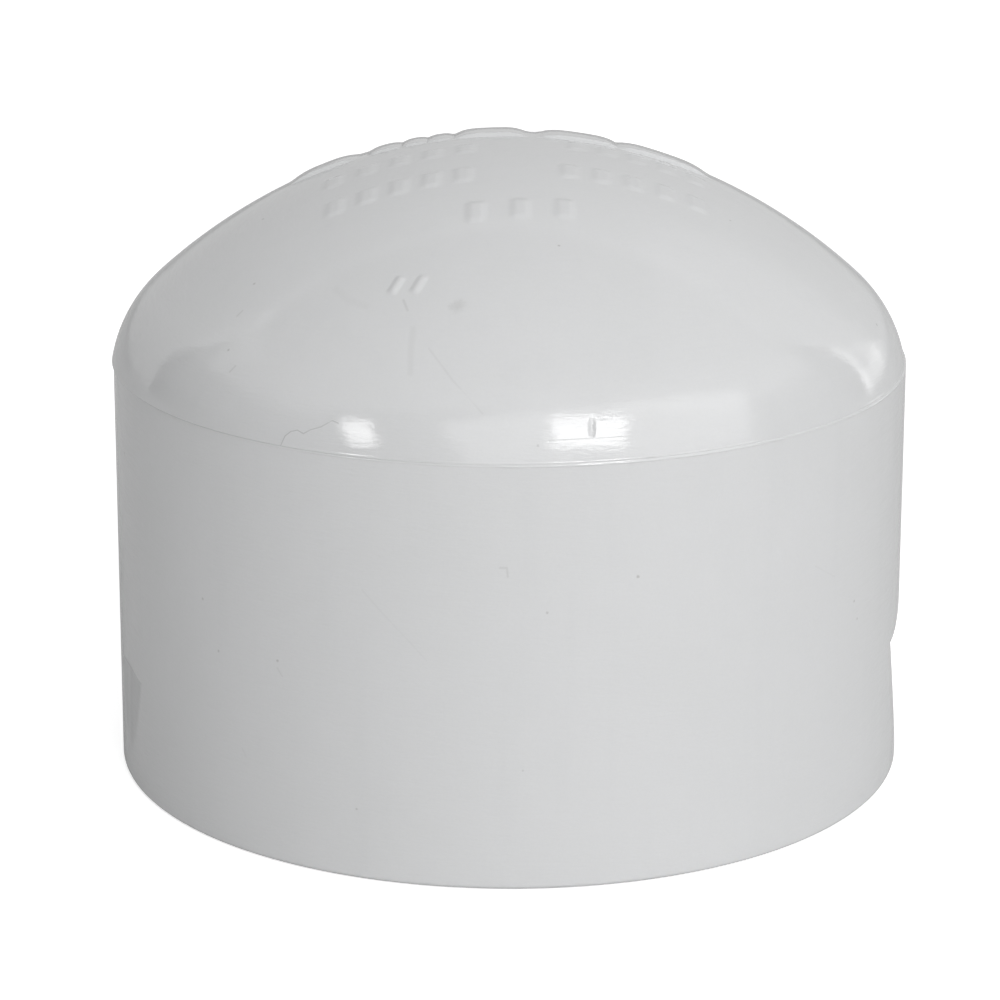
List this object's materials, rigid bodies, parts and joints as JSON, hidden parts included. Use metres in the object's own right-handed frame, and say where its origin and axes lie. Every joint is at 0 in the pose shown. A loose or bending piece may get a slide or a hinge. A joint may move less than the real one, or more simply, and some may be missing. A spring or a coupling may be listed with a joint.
{
  "type": "pipe cap",
  "caption": "Domed socket cap that closes the end of a pipe: a straight skirt around a tapered socket, with a rounded, hollow end.",
  "frame": {"origin": "centre of the mouth, in the plane of the rim", "axes": "+Z along the cap's axis, from the mouth to the top of the dome; -Y towards the side with the two short slanted strokes; +X towards the deeper trimmed gate"},
  "size_m": [0.0566, 0.0566, 0.0452],
  "materials": {
    "white_pvc": "glossy moulded surface"
  },
  "bodies": {
    "root": {"cap_body": "white_pvc"}
  },
  "joints": []
}
